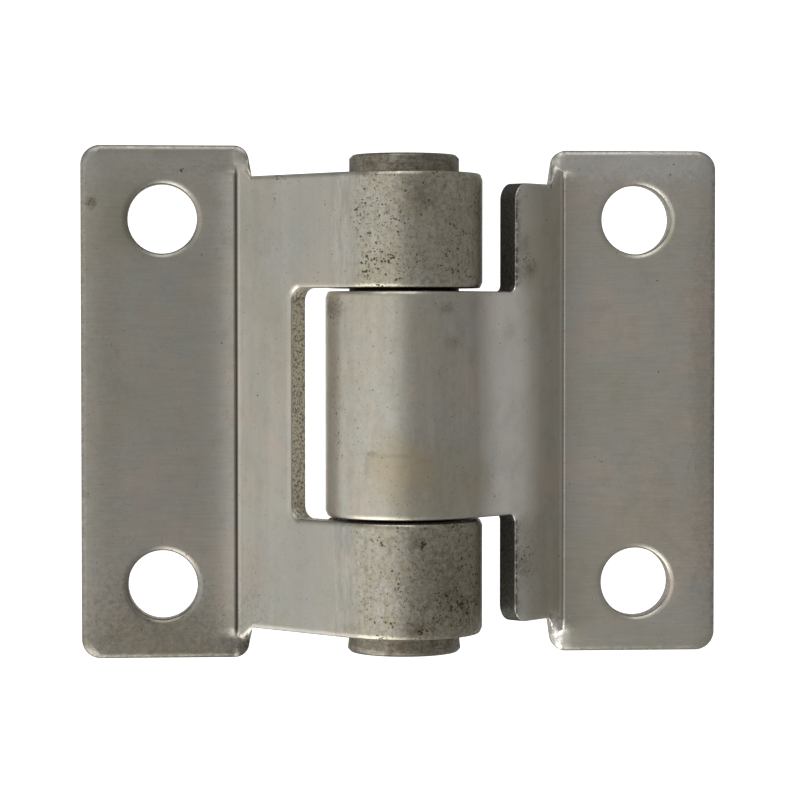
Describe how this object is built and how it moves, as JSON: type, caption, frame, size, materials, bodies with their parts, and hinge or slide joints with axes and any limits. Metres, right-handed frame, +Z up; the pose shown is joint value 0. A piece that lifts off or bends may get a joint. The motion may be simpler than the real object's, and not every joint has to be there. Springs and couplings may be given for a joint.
{
  "type": "trailer hinge",
  "caption": "Cranked pressed-steel butt hinge for a trailer door: bolt-on leaves with rolled, interleaved knuckles on a thick fixed pin, so the door leaf swings right round.",
  "frame": {"origin": "middle of the hinge pin, which is also the middle of the part's box with the leaves opened out flat", "axes": "+Z up along the pin, +Y into the wall behind the mounting faces, +X from the frame leaf to the door leaf"},
  "size_m": [0.0828, 0.02, 0.0666],
  "materials": {
    "leaf_steel": "satin brushed steel, stained and lightly pitted",
    "pin_steel": "dull, dirty turned steel"
  },
  "bodies": {
    "frame_side": {"frame_leaf": "leaf_steel", "hinge_pin": "pin_steel"},
    "door_side": {"door_leaf": "leaf_steel"}
  },
  "joints": [
    {"name": "door_swing", "type": "hinge", "parent": "frame_side", "child": "door_side", "pos_m": [0, 0, 0], "axis": [0, 0, -1], "range_deg": [-125, 180]}
  ]
}
